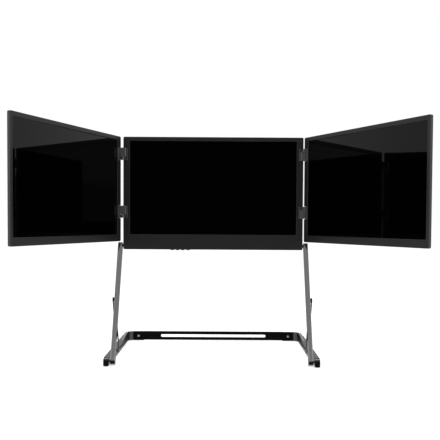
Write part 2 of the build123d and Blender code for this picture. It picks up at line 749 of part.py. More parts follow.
def bar_nut():
    back = bar_front + bar_thick
    nut = extrude(RegularPolygon(bar_nut_af / 2, 6, major_radius=False), bar_nut_h)
    nut = Pos(bar_screw_x(), back, bar_screw_z()) * Rot(-90, 0, 0) * nut
    return nut - rod_y(bar_screw_r, back, back + bar_nut_h, bar_screw_x(), bar_screw_z())


def build_base():
    rail, block, bracket = side_rail(), end_block(), corner_bracket()
    export("right_rail", rail)
    export("left_rail", mirrored(rail))
    export("right_end_block", block)
    export("left_end_block", mirrored(block))
    export("right_bracket", bracket)
    export("left_bracket", mirrored(bracket))
    export("cross_bar", cross_bar())
    export("bar_screws", bar_screw(), mirrored(bar_screw()))
    export("bar_nuts", bar_nut(), mirrored(bar_nut()))

    pin = rod_x(leg_pivot_r, leg_in + 0.5, rail_in + leg_pivot_sink, leg_pivot_y, leg_pivot_z)
    washer = rod_x(pivot_washer_r, leg_out + running_fit, rail_in, leg_pivot_y, leg_pivot_z)
    washer -= rod_x(leg_pivot_r, leg_out, rail_in, leg_pivot_y, leg_pivot_z)
    export("leg_pivot_pins", pin, mirrored(pin))
    export("leg_pivot_washers", washer, mirrored(washer))

    rivets = []
    for y, x, z in rivet_places():
        rivet = rod_x(rivet_r, x - rivet_r, rail_out, y, z)
        rivet += rod_x(rivet_head_r, rail_out, rail_out + rivet_head_h, y, z)
        rivets += [rivet, mirrored(rivet)]
    export("bracket_rivets", *rivets)

    pads = []
    rail_x = (rail_in + rail_out) / 2
    front, rear = -base_depth / 2 + pad_inset, rail_rear - pad_inset
    for y in ((front, front + front_pad_l), (rear - rear_pad_l, rear)):
        pad = slab((rail_x - pad_w / 2, rail_x + pad_w / 2), y, (0, pad_thick))
        pads += [pad, mirrored(pad)]
    export("rail_pads", *pads)


# ------------------------------------------------------------------ build
os.makedirs("parts", exist_ok=True)
build_base()
build_legs()
build_struts()
build_center()
build_wing("left", -1, left_half_gap, left_axis_ahead, left_wing_angle, wing_knuckle_on_top=False)
build_wing("right", 1, right_half_gap, right_axis_ahead, right_wing_angle, wing_knuckle_on_top=True)

print("tilt axis y, z", round(tilt_y, 3), round(tilt_z, 3), "picture z", round(picture_z, 3))
print("leg pivot y, z", round(leg_pivot_y, 3), round(leg_pivot_z, 3), "leg x", round(leg_in, 2), round(leg_out, 2))
print("strut pivot y, z", round(strut_y, 3), round(strut_z, 3), "foot y", round(foot_y, 2), round(foot_travel_y, 2))
print("rail x", round(rail_in, 2), round(rail_out, 2), "rail y", rail_front, rail_rear, "opening", opening_y)
sides = (("left", -1, left_half_gap, left_axis_ahead), ("right", 1, right_half_gap, right_axis_ahead))
for label, sign, gap, ahead in sides:
    print(label, "hinge axis x, y", round(sign * (center_w / 2 + gap), 3), round(face_y - ahead, 3))
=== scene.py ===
# %% [markdown]
# # A laptop screen extender, dressed
#
# A centre screen carries two side screens on vertical friction hinges. It leans on two
# anodised legs that fold down over a U-shaped base, and the base stands on the desk
# around a laptop. The frame holds the solids of the model and gives every piece its
# place and size. This lesson loads it and then gives each piece the edges, fasteners
# and finishes of the real one.
#
# We start with the imports and the frame. Everything after this is in metres, so a
# length that a maker would give in millimetres is multiplied by `MM`.

import json
from math import cos, pi, radians, sin

import bmesh
import bpy
from mathutils import Matrix, Vector


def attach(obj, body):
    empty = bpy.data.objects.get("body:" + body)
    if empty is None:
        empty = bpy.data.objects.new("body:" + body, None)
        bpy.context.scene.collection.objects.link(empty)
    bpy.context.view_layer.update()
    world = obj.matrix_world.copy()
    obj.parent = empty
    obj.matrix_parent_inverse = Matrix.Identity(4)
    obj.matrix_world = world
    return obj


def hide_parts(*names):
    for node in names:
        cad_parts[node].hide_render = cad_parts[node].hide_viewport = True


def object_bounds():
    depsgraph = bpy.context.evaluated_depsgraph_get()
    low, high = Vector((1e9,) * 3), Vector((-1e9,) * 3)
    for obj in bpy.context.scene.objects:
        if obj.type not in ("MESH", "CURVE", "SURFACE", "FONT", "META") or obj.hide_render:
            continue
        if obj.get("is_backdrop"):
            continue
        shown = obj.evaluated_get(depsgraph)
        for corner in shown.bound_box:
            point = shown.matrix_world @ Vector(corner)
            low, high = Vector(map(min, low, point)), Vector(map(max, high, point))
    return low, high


MM = 0.001
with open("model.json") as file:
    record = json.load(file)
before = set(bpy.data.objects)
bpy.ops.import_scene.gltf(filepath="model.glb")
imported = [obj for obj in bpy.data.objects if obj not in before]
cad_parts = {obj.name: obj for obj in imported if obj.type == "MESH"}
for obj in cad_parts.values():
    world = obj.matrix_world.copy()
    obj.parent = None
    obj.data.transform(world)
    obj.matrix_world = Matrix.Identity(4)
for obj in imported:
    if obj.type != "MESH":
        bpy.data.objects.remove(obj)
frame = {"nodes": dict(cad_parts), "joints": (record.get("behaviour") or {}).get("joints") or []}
cad_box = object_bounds()
scene = bpy.context.scene
print("pieces in the frame:", len(frame["nodes"]))

# %% [markdown]
# ## Camera
#
# A product shot of something this wide is taken from a metre and a half away with a
# normal lens, so that the side screens don't look stretched. The camera stands a
# little below the middle of the screens and looks down by two degrees. The lens is
# shifted up instead of tilted up, which keeps the legs from converging.

# %% Place the camera
IMAGE_SIZE = 440
FOCAL_PIXELS = 699.324
SENSOR_MM = 36.0
SHIFT_PIXELS = 26.231
CAMERA_MM = (14.8, -1499.95, 282.7)
VIEW_END_M = 50.0
roll, pitch = radians(0.331), radians(2.031)

right = Vector((1, 0, 0))
forward = Vector((0, cos(pitch), -sin(pitch)))
upward = right.cross(forward)
turned_right = right * cos(roll) + upward * sin(roll)
turned_up = upward * cos(roll) - right * sin(roll)

camera_data = bpy.data.cameras.new("camera")
camera_data.sensor_width = SENSOR_MM
camera_data.lens = FOCAL_PIXELS / IMAGE_SIZE * SENSOR_MM
camera_data.shift_y = SHIFT_PIXELS / IMAGE_SIZE
camera_data.clip_end = VIEW_END_M
camera = bpy.data.objects.new("camera", camera_data)
scene.collection.objects.link(camera)
axes = Matrix((turned_right, turned_up, -forward)).transposed()
camera.matrix_world = Matrix.Translation(Vector(CAMERA_MM) * MM) @ axes.to_4x4()
scene.camera = camera
scene.view_settings.view_transform = "Standard"
print("lens:", round(camera_data.lens, 2), "mm")

# %% [markdown]
# ## Two small tools
#
# Colours are written as the sRGB hex values that a paint shop would quote, and Blender
# wants linear light, so one function converts them. Node trees are built in code, and
# one function adds a node, sets its properties and fills its inputs: an input takes a
# value, or another node's output, which becomes a link, or a list of outputs where a
# socket takes several.


# %% Colour and node helpers
def linear(hex_code):
    """sRGB hex to linear RGBA."""
    channels = [int(hex_code[i : i + 2], 16) / 255 for i in (0, 2, 4)]
    light = [c / 12.92 if c <= 0.04045 else ((c + 0.055) / 1.055) ** 2.4 for c in channels]
    return light + [1.0]


def add_node(tree, kind, inputs=None, **settings):
    """Add a node with its settings; each input is a value or the outputs to link from."""
    node = tree.nodes.new(kind)
    for name, value in settings.items():
        setattr(node, name, value)
    for key, value in (inputs or {}).items():
        several = value if isinstance(value, list) else [value]
        outputs = [one for one in several if isinstance(one, bpy.types.NodeSocket)]
        for output in outputs:
            tree.links.new(output, node.inputs[key])
        if not outputs:
            node.inputs[key].default_value = value
    return node


print("the paint 808080 is", round(linear("808080")[0], 3), "in linear light")

# %% [markdown]
# ## Studio
#
# The object is mostly black, so what it reflects decides how it looks. Five parts of
# the room matter. The wall behind the camera is dark and keeps the fronts black. The
# bright side walls put a streak into each rounded corner, the ceiling lights the
# leaning legs, and the pale sweep behind the object makes its grazing faces light. At
# eye level the far corners are dark again, so the gaps beside the hinges leave no
# bright lines in the side screens' reflections.
#
# A panorama of a real studio would do as well, but here each part is one row of
# numbers: where it starts and ends along a direction, and how bright it is. The first
# level, of the dark wall, counts wherever no row says otherwise.

# %% Room for the reflections
FRONT_LEVEL = 0.04
CORNER_SLOPE = -6.0  # how fast a far corner ends above and below eye level
world = bpy.data.worlds.new("studio")
scene.world = world
world.use_nodes = True
tree = world.node_tree
tree.nodes.clear()
path = add_node(tree, "ShaderNodeLightPath")
direction = add_node(tree, "ShaderNodeTexCoord")
way = add_node(tree, "ShaderNodeSeparateXYZ", {"Vector": direction.outputs["Generated"]})
sideways = add_node(tree, "ShaderNodeMath", {0: way.outputs["X"]}, operation="ABSOLUTE")
off_level = add_node(tree, "ShaderNodeMath", {0: way.outputs["Z"]}, operation="ABSOLUTE")
far_corner = add_node(
    tree,
    "ShaderNodeMath",
    {0: off_level.outputs["Value"], 1: CORNER_SLOPE, 2: sideways.outputs["Value"]},
    operation="MULTIPLY_ADD",
)
room = FRONT_LEVEL
for name, along, start, end, level in (
    ("side_walls", sideways.outputs["Value"], 0.26, 0.42, 1.80),
    ("ceiling", way.outputs["Z"], 0.12, 0.30, 0.50),
    ("sweep", way.outputs["Y"], -0.10, 0.40, 1.00),
    ("far_corners", far_corner.outputs["Value"], 0.40, 0.50, 0.15),
):
    share = add_node(
        tree,
        "ShaderNodeMapRange",
        {"Value": along, "From Min": start, "From Max": end},
        label=name,
        interpolation_type="SMOOTHSTEP",
    )
    wall = add_node(
        tree,
        "ShaderNodeMix",
        {"Factor": share.outputs["Result"], "A": room, "B": level},
        data_type="FLOAT",
    )
    room = wall.outputs["Result"]
    print(name, "shines at", level)

# %% [markdown]
# Light Path decides who sees what. The camera sees plain white and glossy rays see the
# room. Everything else gets an even grey fill, so the bright walls shape the reflections
# and leave the light on the object alone.

# %% World
FILL_LEVEL, SEEN_LEVEL = 0.5, 1.0
glossy = add_node(
    tree,
    "ShaderNodeMix",
    {"Factor": path.outputs["Is Glossy Ray"], "A": FILL_LEVEL, "B": room},
    data_type="FLOAT",
)
seen = add_node(
    tree,
    "ShaderNodeMix",
    {"Factor": path.outputs["Is Camera Ray"], "A": glossy.outputs["Result"], "B": SEEN_LEVEL},
    data_type="FLOAT",
)
background = add_node(
    tree,
    "ShaderNodeBackground",
    {"Color": linear("FFFFFF"), "Strength": seen.outputs["Result"]},
)
add_node(tree, "ShaderNodeOutputWorld", {"Surface": background.outputs["Background"]})
print("nodes in the world:", len(tree.nodes))

# %% [markdown]
# Three soft boxes do the rest. One hangs overhead and gives the soft contact shadow.
# Two stand low in front, fifty degrees to either side, and model the fronts a little.


# %% Lamps
def soft_box(name, place, target, size, watts):
    """A square lamp at a place, turned to its target."""
    data = bpy.data.lights.new(name, "AREA")
    data.shape = "SQUARE"
    data.size = size
    data.energy = watts
    lamp = bpy.data.objects.new(name, data)
    scene.collection.objects.link(lamp)
    lamp.location = place
    lamp.rotation_euler = (Vector(target) - Vector(place)).to_track_quat("-Z", "Y").to_euler()
    print(name, "at", place, "gives", watts, "W")


soft_box("overhead_box", (0, 0.3, 2.4), (0, 0, 0.2), 1.8, 20)
soft_box("left_box", (-1.75, -1.45, 0.85), (0, 0, 0.15), 1.2, 8)
soft_box("right_box", (1.75, -1.45, 0.85), (0, 0, 0.15), 1.2, 8)


# %% [markdown]
# ## Rounded edges for the carried-over solids
#
# No sheared, moulded or extruded edge is perfectly sharp, and that thin rounded line
# is what catches the light. The solids of the frame arrive as loose triangles, so a
# copy is merged, its flat faces are joined again, and a narrow Bevel rounds the edges
# that turn by more than a third of a right angle. Weighted Normal then lets each large
# face decide how its corners are shaded, so that a long flat bar has no false gradient.
# The same rounding could be drawn into every solid, but as a modifier it stays one
# number per piece.


# %% Soften edges
WELD_MM = 0.002
FLAT_TURN, EDGE_TURN = radians(0.5), radians(32)
BEVEL_STEPS, LARGE_FACE_WEIGHT = 2, 90


def softened(node, body, edge_mm, finish):
    """A copy of a solid with rounded edges, riding on its body in place of the solid."""
    shape = bmesh.new()
    shape.from_mesh(frame["nodes"][node].data)
    bmesh.ops.remove_doubles(shape, verts=shape.verts, dist=WELD_MM * MM)
    bmesh.ops.dissolve_limit(shape, angle_limit=FLAT_TURN, verts=shape.verts, edges=shape.edges)
    mesh = bpy.data.meshes.new(node + "_shape")
    shape.to_mesh(mesh)
    shape.free()
    mesh.shade_smooth()
    piece = bpy.data.objects.new(node + "_soft", mesh)
    scene.collection.objects.link(piece)
    mesh.materials.clear()
    mesh.materials.append(finish)
    bevel = piece.modifiers.new("rounded_edges", "BEVEL")
    bevel.width = edge_mm * MM
    bevel.segments = BEVEL_STEPS
    bevel.limit_method = "ANGLE"
    bevel.angle_limit = EDGE_TURN
    flat = piece.modifiers.new("flat_faces_stay_flat", "WEIGHTED_NORMAL")
    flat.mode = "FACE_AREA"
    flat.weight = LARGE_FACE_WEIGHT
    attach(piece, body)
    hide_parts(node)
    return piece


# %% [markdown]
# ## Finishes
#
# Each finish is named for the real material and the way it was made. They share one
# start: a new material with a Principled shader. What is the same all over the surface
# is set on the shader's own sockets. Patterns of noise then give the grain, through the
# shader's normal, and the wear and small changes of gloss, through its roughness. They
# use Object coordinates, so that they stay put when a piece moves and no face has to be
# unwrapped, as an image texture would ask for.


# %% A new finish
def new_finish(name, hex_code, roughness, metallic=0.0, **sockets):
    """A material with its Principled shader ready, and the object's own coordinates."""
    material = bpy.data.materials.new(name)
    material.use_nodes = True
    tree = material.node_tree
    shader = tree.nodes["Principled BSDF"]
    shader.inputs["Base Color"].default_value = linear(hex_code)
    shader.inputs["Roughness"].default_value = roughness
    shader.inputs["Metallic"].default_value = metallic
    for socket, value in sockets.items():
        shader.inputs[socket.replace("_", " ")].default_value = value
    place = add_node(tree, "ShaderNodeTexCoord").outputs["Object"]
    return material, tree, shader, place


# %% [markdown]
# **Moulded plastics.** The cases and keys are injection moulded in black ABS from a tool
# with an eroded, sand-like skin, and the end caps of the legs in nylon. The grain is
# about 0.1 mm on the real part, too fine to see here, so it is drawn at half a
# millimetre. It turns the black into an even satin without sharp reflections. A slow
# change of gloss over some 60 mm is what hands and cleaning leave behind.

# %% Moulded plastics
GRAIN_MM, GRAIN_DEPTH_MM = 0.5, 0.05
POLISH_MM, POLISH_SPREAD = 60.0, 0.05


def moulded(name, hex_code, roughness, bump, ior=1.5):
    """A moulded plastic with a sandy grain and slowly changing gloss."""
    material, tree, shader, place = new_finish(name, hex_code, roughness, IOR=ior)
    grain = add_node(
        tree,
        "ShaderNodeTexNoise",
        {"Vector": place, "Scale": 1 / (GRAIN_MM * MM), "Detail": 2.0},
    )
    skin = add_node(
        tree,
        "ShaderNodeBump",
        {"Height": grain.outputs["Fac"], "Strength": bump, "Distance": GRAIN_DEPTH_MM * MM},
    )
    polish = add_node(
        tree,
        "ShaderNodeTexNoise",
        {"Vector": place, "Scale": 1 / (POLISH_MM * MM), "Detail": 3.0},
    )
    gloss = add_node(
        tree,
        "ShaderNodeMapRange",
        {
            "Value": polish.outputs["Fac"],
            "To Min": roughness - POLISH_SPREAD,
            "To Max": roughness + POLISH_SPREAD,
        },
    )
    tree.links.new(skin.outputs["Normal"], shader.inputs["Normal"])
    tree.links.new(gloss.outputs["Result"], shader.inputs["Roughness"])
    return material


bezel_abs = moulded("moulded_abs_bezel", "151516", 0.46, 0.25, ior=1.42)
cover_abs = moulded("moulded_abs_cover", "262628", 0.55, 0.35)
key_abs = moulded("moulded_abs_key", "161617", 0.42, 0.15)
nylon = moulded("moulded_nylon", "0A0A0B", 0.36, 0.15, ior=1.3)
print("plastics:", bezel_abs.name, cover_abs.name, key_abs.name, nylon.name)

# %% [markdown]
# **Cover glass.** A switched-off panel is a black mirror: a thin glass with an
# anti-reflection coating over a black filter stack. The coating lowers the reflection
# at the front face to about one percent, which a low IOR gives, and the faint smears
# of a wiping cloth show only as small changes of roughness. A see-through sheet over a
# dark panel would mirror everything twice, so the glass is one opaque black.

# %% Coated glass over a dark panel
COATED_GLASS_IOR = 1.22
SMEAR_MM, SMEAR_STRETCH = 35.0, 0.35
CLEAN, SMEARED = 0.015, 0.035
glass, tree, shader, place = new_finish(
    "coated_cover_glass", "010101", 0.02, IOR=COATED_GLASS_IOR
)
stretch = add_node(
    tree, "ShaderNodeMapping", {"Vector": place, "Scale": (1.0, 1.0, SMEAR_STRETCH)}
)
smear = add_node(
    tree,
    "ShaderNodeTexNoise",
    {
        "Vector": stretch.outputs["Vector"],
        "Scale": 1 / (SMEAR_MM * MM),
        "Detail": 4.0,
        "Distortion": 0.6,
    },
)
wipe = add_node(
    tree,
    "ShaderNodeMapRange",
    {
        "Value": smear.outputs["Fac"],
        "From Min": 0.35,
        "From Max": 0.7,
        "To Min": CLEAN,
        "To Max": SMEARED,
    },
)
tree.links.new(wipe.outputs["Result"], shader.inputs["Roughness"])
print("glass:", glass.name, "with an IOR of", COATED_GLASS_IOR)

# %% [markdown]
# **Anodised aluminium.** Legs and rails are cut from extruded bar. The die leaves fine
# lines along the length, about 0.4 mm apart, and the grey anodising dulls them to a
# satin. The lines are noise squeezed along the bar, so they read as drawn, not woven.
# An anisotropic shader could stretch the highlights too, but it needs tangents, and
# these lines also show up close. Bare metal turns to a mirror at a grazing angle. The
# dyed oxide film on top absorbs part of that light, which the shader's specular tint
# stands for.

# %% Anodised extrusion
DIE_LINE_MM, DIE_LINE_DEPTH_MM = 0.4, 0.02
LINE_STRETCH, LINE_STRENGTH, SATIN_SPREAD = 0.01, 0.12, 0.03


def anodised(name, hex_code, roughness, along, grazing_hex):
    """Anodised extrusion; along is the direction of the bar in the object's frame."""
    material, tree, shader, place = new_finish(
        name, hex_code, roughness, metallic=1.0, Specular_Tint=linear(grazing_hex)
    )
    turn = Vector(along).rotation_difference(Vector((0, 0, 1))).to_euler()
    lined_up = add_node(tree, "ShaderNodeMapping", {"Vector": place, "Rotation": turn})
    squeezed = add_node(
        tree,
        "ShaderNodeMapping",
        {"Vector": lined_up.outputs["Vector"], "Scale": (1.0, 1.0, LINE_STRETCH)},
    )
    lines = add_node(
        tree,
        "ShaderNodeTexNoise",
        {"Vector": squeezed.outputs["Vector"], "Scale": 1 / (DIE_LINE_MM * MM), "Detail": 3.0},
    )
    scratch = add_node(
        tree,
        "ShaderNodeBump",
        {
            "Height": lines.outputs["Fac"],
            "Strength": LINE_STRENGTH,
            "Distance": DIE_LINE_DEPTH_MM * MM,
        },
    )
    satin = add_node(
        tree,
        "ShaderNodeMapRange",
        {
            "Value": lines.outputs["Fac"],
            "To Min": roughness - SATIN_SPREAD,
            "To Max": roughness + SATIN_SPREAD,
        },
    )
    tree.links.new(scratch.outputs["Normal"], shader.inputs["Normal"])
    tree.links.new(satin.outputs["Result"], shader.inputs["Roughness"])
    return material


LEG_LEAN = radians(25.23)
LEG_WAY, RAIL_WAY = (0, sin(LEG_LEAN), cos(LEG_LEAN)), (0, 1, 0)
leg_anodised = anodised("anodised_aluminium_leg", "9A9A9D", 0.07, LEG_WAY, "9A9A9D")
rail_anodised = anodised("anodised_aluminium_rail", "747477", 0.28, RAIL_WAY, "B4B4B4")
print("extrusions:", leg_anodised.name, rail_anodised.name)

# %% [markdown]
# **Black coatings on metal.** The bent strips, the cross bar and the struts are powder
# coated, which flows into a soft orange peel about 1.5 mm across. The end blocks are
# cast and then painted, so the sand of the mould shows through as a finer, harder
# grain. The struts get a matt grade of the powder, whose flattening agent in the top of
# the film weakens the reflection as a lower IOR does. The hinges are die cast and get a
# thin dark grey plating.


# %% Coated metal
PEEL_DEPTH_MM, WEAR_SPREAD = 0.06, 0.04


def coated_metal(name, hex_code, roughness, peel_mm, bump, metallic=0.0, ior=1.5):
    """A coated metal; peel_mm is how wide the waves or grains of the coat are."""
    material, tree, shader, place = new_finish(name, hex_code, roughness, metallic, IOR=ior)
    peel = add_node(
        tree,
        "ShaderNodeTexNoise",
        {"Vector": place, "Scale": 1 / (peel_mm * MM), "Detail": 1.5},
    )
    ripple = add_node(
        tree,
        "ShaderNodeBump",
        {"Height": peel.outputs["Fac"], "Strength": bump, "Distance": PEEL_DEPTH_MM * MM},
    )
    worn = add_node(
        tree,
        "ShaderNodeMapRange",
        {
            "Value": peel.outputs["Fac"],
            "To Min": roughness - WEAR_SPREAD,
            "To Max": roughness + WEAR_SPREAD,
        },
    )
    tree.links.new(ripple.outputs["Normal"], shader.inputs["Normal"])
    tree.links.new(worn.outputs["Result"], shader.inputs["Roughness"])
    return material


powder_black = coated_metal("powder_coated_steel", "060607", 0.22, 1.5, 0.2)
strut_black = coated_metal("matt_powder_coated_strip", "070708", 0.45, 1.0, 0.2, ior=1.22)
cast_black = coated_metal("painted_casting", "060607", 0.22, 0.6, 0.2)
hinge_grey = coated_metal("plated_die_casting", "68686B", 0.40, 0.5, 0.2, metallic=0.8)
print("coatings:", powder_black.name, strut_black.name, cast_black.name, hinge_grey.name)

# %% [markdown]
# **Small metal parts.** Screws and pins are turned steel with bright zinc, and the
# case screws and rivets have a black oxide. Turning leaves rings, too fine to draw on
# a head of a few millimetres, so a faint change of gloss stands for them.


# %% Turned steel
TOOLING_MM, TOOLING_SPREAD = 0.8, 0.08


def turned_steel(name, hex_code, roughness):
    """Plated or blackened steel with the faint marks of turning."""
    material, tree, shader, place = new_finish(name, hex_code, roughness, metallic=1.0)
    tooling = add_node(
        tree,
        "ShaderNodeTexNoise",
        {"Vector": place, "Scale": 1 / (TOOLING_MM * MM), "Detail": 2.0},
    )
    marks = add_node(
        tree,
        "ShaderNodeMapRange",
        {
            "Value": tooling.outputs["Fac"],
            "To Min": roughness - TOOLING_SPREAD,
            "To Max": roughness + TOOLING_SPREAD,
        },
    )
    tree.links.new(marks.outputs["Result"], shader.inputs["Roughness"])
    return material


bright_zinc = turned_steel("zinc_plated_steel", "A4A4A2", 0.28)
black_oxide = turned_steel("black_oxide_steel", "38383A", 0.35)
print("small metal parts:", bright_zinc.name, black_oxide.name)

# %% [markdown]
# **Rubber and circuit board.** The feet are moulded silicone with a dusty, fully matt
# skin. The boards inside the screens are glass-epoxy laminate under green solder
# mask, whose copper tracks show as slightly paler lines on a 1.27 mm grid. A Brick
# texture draws them, which is enough for boards that are seen only in an opened case.

# %% Rubber and laminate
DUST_MM, DUST_DEPTH_MM = 1.2, 0.05
rubber, tree, shader, place = new_finish("moulded_silicone_rubber", "0D0D0D", 0.9)
dust = add_node(
    tree,
    "ShaderNodeTexNoise",
    {"Vector": place, "Scale": 1 / (DUST_MM * MM), "Detail": 4.0},
)
skin = add_node(
    tree,
    "ShaderNodeBump",
    {"Height": dust.outputs["Fac"], "Strength": 0.4, "Distance": DUST_DEPTH_MM * MM},
)
tree.links.new(skin.outputs["Normal"], shader.inputs["Normal"])

TRACK_PITCH_MM, TRACKS_PER_BRICK = 1.27, 8
laminate, tree, shader, place = new_finish("glass_epoxy_laminate", "0B5A2B", 0.35)
tracks = add_node(
    tree,
    "ShaderNodeTexBrick",
    {
        "Vector": place,
        "Scale": 1 / (TRACK_PITCH_MM * TRACKS_PER_BRICK * MM),
        "Color1": linear("0B5A2B"),
        "Color2": linear("0D6631"),
        "Mortar": linear("1F8A4A"),
        "Mortar Size": 0.03,
    },
)
tree.links.new(tracks.outputs["Color"], shader.inputs["Base Color"])
print("rubber and laminate:", rubber.name, laminate.name)

# %% [markdown]
# ## Dress the solids of the frame
#
# Solids whose form is already right get their finish as they are, where they are
# hidden or have fillets of their own. The ones whose cut edges can be seen are
# swapped for a copy with rounded edges.
#
# The name of a solid says what it is, so the first group goes by how the name ends. The
# first row of the table that fits counts.

# %% Finish the solids that stay
FINISH_BY_ENDING = (
    (("_glass", "_lcd_module"), glass),
    (("_control_board",), laminate),
    (("_pins", "_ports", "leg_pivot_washers"), bright_zinc),
    (("_washers", "_switches"), nylon),
    (("_spacers", "_tilt_block"), black_oxide),
    (("key_1", "key_2", "key_3", "key_4"), key_abs),
    (("rail_pads",), rubber),
)
staying = 0
for node, solid in frame["nodes"].items():
    finishes = [finish for endings, finish in FINISH_BY_ENDING if node.endswith(endings)]
    if finishes:
        staying += 1
        for material_slot in solid.material_slots:
            material_slot.material = finishes[0]
print("solids finished as they are:", staying)

# %% [markdown]
# Moulded cases and thin strips have crisp edges, and cast, extruded or bent pieces have
# rounder ones. Each row of the table gives the body that carries a piece, the width of
# its rounded edges in millimetres, its finish and its slot. A row with `{side}` stands
# for a left and a right piece.

# %% Swap in softened copies
SIDES = ("left", "right")
SOFT_EDGES = {
    "{side}_rail": ("base", 0.35, rail_anodised, "anodised_aluminium"),
    "{side}_end_block": ("base", 0.4, cast_black, "black_cast_metal"),
    "{side}_bracket": ("base", 0.4, powder_black, "black_painted_steel"),
    "cross_bar": ("base", 0.35, powder_black, "black_painted_steel"),
    "bar_nuts": ("base", 0.3, bright_zinc, "steel"),
    "{side}_leg": ("legs", 0.3, leg_anodised, "anodised_aluminium"),
    "leg_top_caps": ("legs", 0.3, nylon, "cap_plastic"),
    "leg_foot_caps": ("legs", 0.3, nylon, "cap_plastic"),
    "{side}_strut": ("struts", 0.15, strut_black, "black_painted_steel"),
    "center_bezel": ("center_screen", 0.12, bezel_abs, "bezel_plastic"),
    "center_back_cover": ("center_screen", 0.12, cover_abs, "cover_plastic"),
    "{side}_hinge_center_leaves": ("center_screen", 0.3, hinge_grey, "hinge_metal"),
    "{side}_wing_bezel": ("{side}_wing", 0.12, bezel_abs, "bezel_plastic"),
    "{side}_wing_back_cover": ("{side}_wing", 0.12, cover_abs, "cover_plastic"),
    "{side}_hinge_wing_leaves": ("{side}_wing", 0.3, hinge_grey, "hinge_metal"),
}
soft = {}
for row, (body, edge_mm, finish, slot) in SOFT_EDGES.items():
    for side in SIDES if "{side}" in row else ("",):
        node = row.format(side=side)
        soft[node] = softened(node, body.format(side=side), edge_mm, finish)
print("softened copies:", len(soft))

# %% [markdown]
# Each fixed hinge leaf shows its knuckle and a raised strip at its end. On the right a
# flat between them lies level with the case. It gets the black powder finish as painted
# shade, so it shows as dark as a shaded gap between knuckle and strip. The left hinge
# stands further forwards and has no such flat. The faces are found by the way they face
# and how far they stand in front of the case, so the mesh itself stays as it is and
# only gets a second material.

# %% Painted shade on the flat of the right fixed leaves
PLATE_PROUD_MM, LEVEL_WITHIN_MM = 0.15, 0.05
FACING_FORWARDS = -0.9
case_front = min(corner.co.y for corner in frame["nodes"]["center_bezel"].data.vertices)
leaves = soft["right_hinge_center_leaves"].data
# Painted shade: the flat gets the black powder finish, as dark as a shaded gap.
leaves.materials.append(powder_black)
for face in leaves.polygons:
    level = face.center.y - (case_front - PLATE_PROUD_MM * MM)
    if face.normal.y < FACING_FORWARDS and abs(level) < LEVEL_WITHIN_MM * MM:
        face.material_index = 1
painted = sum(face.material_index for face in leaves.polygons)
print("painted faces on the right leaves:", painted)

# %% [markdown]
# The brackets' tongues reach forwards into the opened ends of the rails. Their upright
# faces get only a thin, matt coat there, so they stay black even at a grazing angle. A
# second material on those faces does it, in the same way.

# %% Matt coat on the tongues
FACING_SIDEWAYS = 0.3
for side in SIDES:
    bracket = soft[f"{side}_bracket"].data
    bracket.materials.append(strut_black)
    rail_rear = max(corner.co.y for corner in frame["nodes"][f"{side}_rail"].data.vertices)
    for face in bracket.polygons:
        if abs(face.normal.x) > FACING_SIDEWAYS and face.center.y < rail_rear:
            face.material_index = 1
    matt_faces = sum(face.material_index for face in bracket.polygons)
    print(side, "tongue has", matt_faces, "matt faces")

# %% [markdown]
# ## Screws and rivets
#
# The frame holds every screw and rivet as a plain stepped pin. The real ones have a
# cross recess, a hexagon socket or a domed head. They repeat, so each kind is one
# Geometry Nodes tree: it builds a single fastener from named sizes and puts a copy on
# every point it is given. The points come from the pins themselves, so a fastener
# always sits where its pin is: in the middle of the pin, at the face of its head.


# %% Find the pins
def pin_spots(node, facing_at):
    """Where the pins of a node stand: the place of each head, the way it faces, its length."""
    shape = bmesh.new()
    shape.from_mesh(frame["nodes"][node].data)
    bmesh.ops.remove_doubles(shape, verts=shape.verts, dist=WELD_MM * MM)
    waiting, spots = set(shape.verts), []
    while waiting:
        pin, edge_of_search = [], [waiting.pop()]
        while edge_of_search:
            corner = edge_of_search.pop()
            pin.append(corner.co.copy())
            for edge in corner.link_edges:
                other = edge.other_vert(corner)
                if other in waiting:
                    waiting.remove(other)
                    edge_of_search.append(other)
        low = Vector([min(corner[axis] for corner in pin) for axis in range(3)])
        high = Vector([max(corner[axis] for corner in pin) for axis in range(3)])
        middle = (low + high) / 2
        facing = Vector(facing_at(middle)).normalized()
        along = [corner.dot(facing) for corner in pin]
        head = middle + facing * (max(along) - middle.dot(facing))
        spots.append((head, facing, max(along) - min(along)))
    shape.free()
    return spots


# %% [markdown]
# Every tree starts with the same inputs: the points, the radius and height of the head,
# the radius and length of the shank, a seed and a finish. Each kind adds the sizes of
# its own recess or socket.


# %% Start of a fastener tree
def fastener_tree(name, own_sizes):
    """A new tree that takes points, named sizes and a finish."""
    tree = bpy.data.node_groups.new(name, "GeometryNodeTree")
    tree.interface.new_socket("Points", in_out="INPUT", socket_type="NodeSocketGeometry")
    shared_sizes = ("Head Radius", "Head Height", "Shank Radius", "Shank Length")
    for size in shared_sizes + own_sizes:
        tree.interface.new_socket(size, in_out="INPUT", socket_type="NodeSocketFloat")
    tree.interface.new_socket("Seed", in_out="INPUT", socket_type="NodeSocketInt")
    tree.interface.new_socket("Finish", in_out="INPUT", socket_type="NodeSocketMaterial")
    tree.interface.new_socket("Geometry", in_out="OUTPUT", socket_type="NodeSocketGeometry")
    return tree, add_node(tree, "NodeGroupInput").outputs


# %% [markdown]
# Every tree ends alike too. The fastener is set on the points, turned to face outwards
# by the stored `facing` and spun by a random angle with a fixed seed, as a screwdriver
# leaves them. Realize Instances and Set Material come last, because the export keeps
# only real faces.


